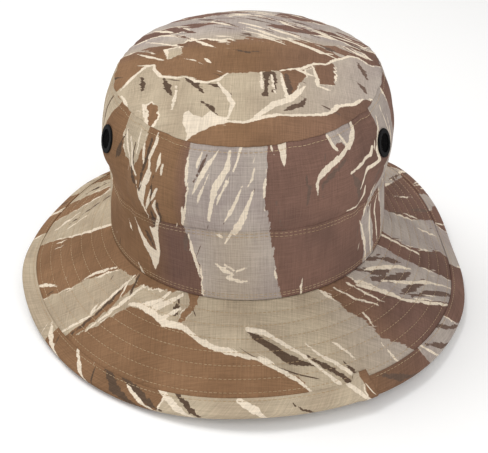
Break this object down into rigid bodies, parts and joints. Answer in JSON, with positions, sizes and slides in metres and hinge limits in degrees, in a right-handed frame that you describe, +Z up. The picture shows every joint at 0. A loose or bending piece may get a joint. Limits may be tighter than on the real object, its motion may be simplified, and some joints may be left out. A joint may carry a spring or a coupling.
{
  "type": "boonie hat",
  "caption": "Soft field hat with a domed crown, a straight crown band, screened side vents and a stitched, bound brim with an uneven droop.",
  "frame": {"origin": "on the table under the middle of the hat's outline, with the crown up", "axes": "+Z up through the crown, -Y to the front of the hat, +X to the right seen from the front"},
  "size_m": [0.2848, 0.3056, 0.151],
  "materials": {
    "camouflage_cloth": null,
    "interlining": "stiff woven interlining",
    "sweatband_tape": "twill tape",
    "seam_tape": "plain woven tape",
    "thread": "spun sewing thread",
    "blackened_metal": "black enamelled brass, satin",
    "vent_mesh": "black enamelled wire mesh"
  },
  "bodies": {
    "root": {"crown_tip": "camouflage_cloth", "crown_side_front": "camouflage_cloth", "crown_side_back": "camouflage_cloth", "crown_band_front": "camouflage_cloth", "crown_band_back": "camouflage_cloth", "brim_top_front": "camouflage_cloth", "brim_top_back": "camouflage_cloth", "brim_interlining_front": "interlining", "brim_interlining_back": "interlining", "brim_under_front": "camouflage_cloth", "brim_under_back": "camouflage_cloth", "brim_binding": "camouflage_cloth", "sweatband": "sweatband_tape", "tip_seam_tape": "seam_tape", "side_seam_tape_left": "seam_tape", "side_seam_tape_right": "seam_tape", "vent_eyelet_right_front": "blackened_metal", "vent_screen_right_front": "vent_mesh", "vent_washer_right_front": "blackened_metal", "vent_eyelet_right_back": "blackened_metal", "vent_screen_right_back": "vent_mesh", "vent_washer_right_back": "blackened_metal", "vent_eyelet_left_front": "blackened_metal", "vent_screen_left_front": "vent_mesh", "vent_washer_left_front": "blackened_metal", "vent_eyelet_left_back": "blackened_metal", "vent_screen_left_back": "vent_mesh", "vent_washer_left_back": "blackened_metal"}
  },
  "joints": []
}
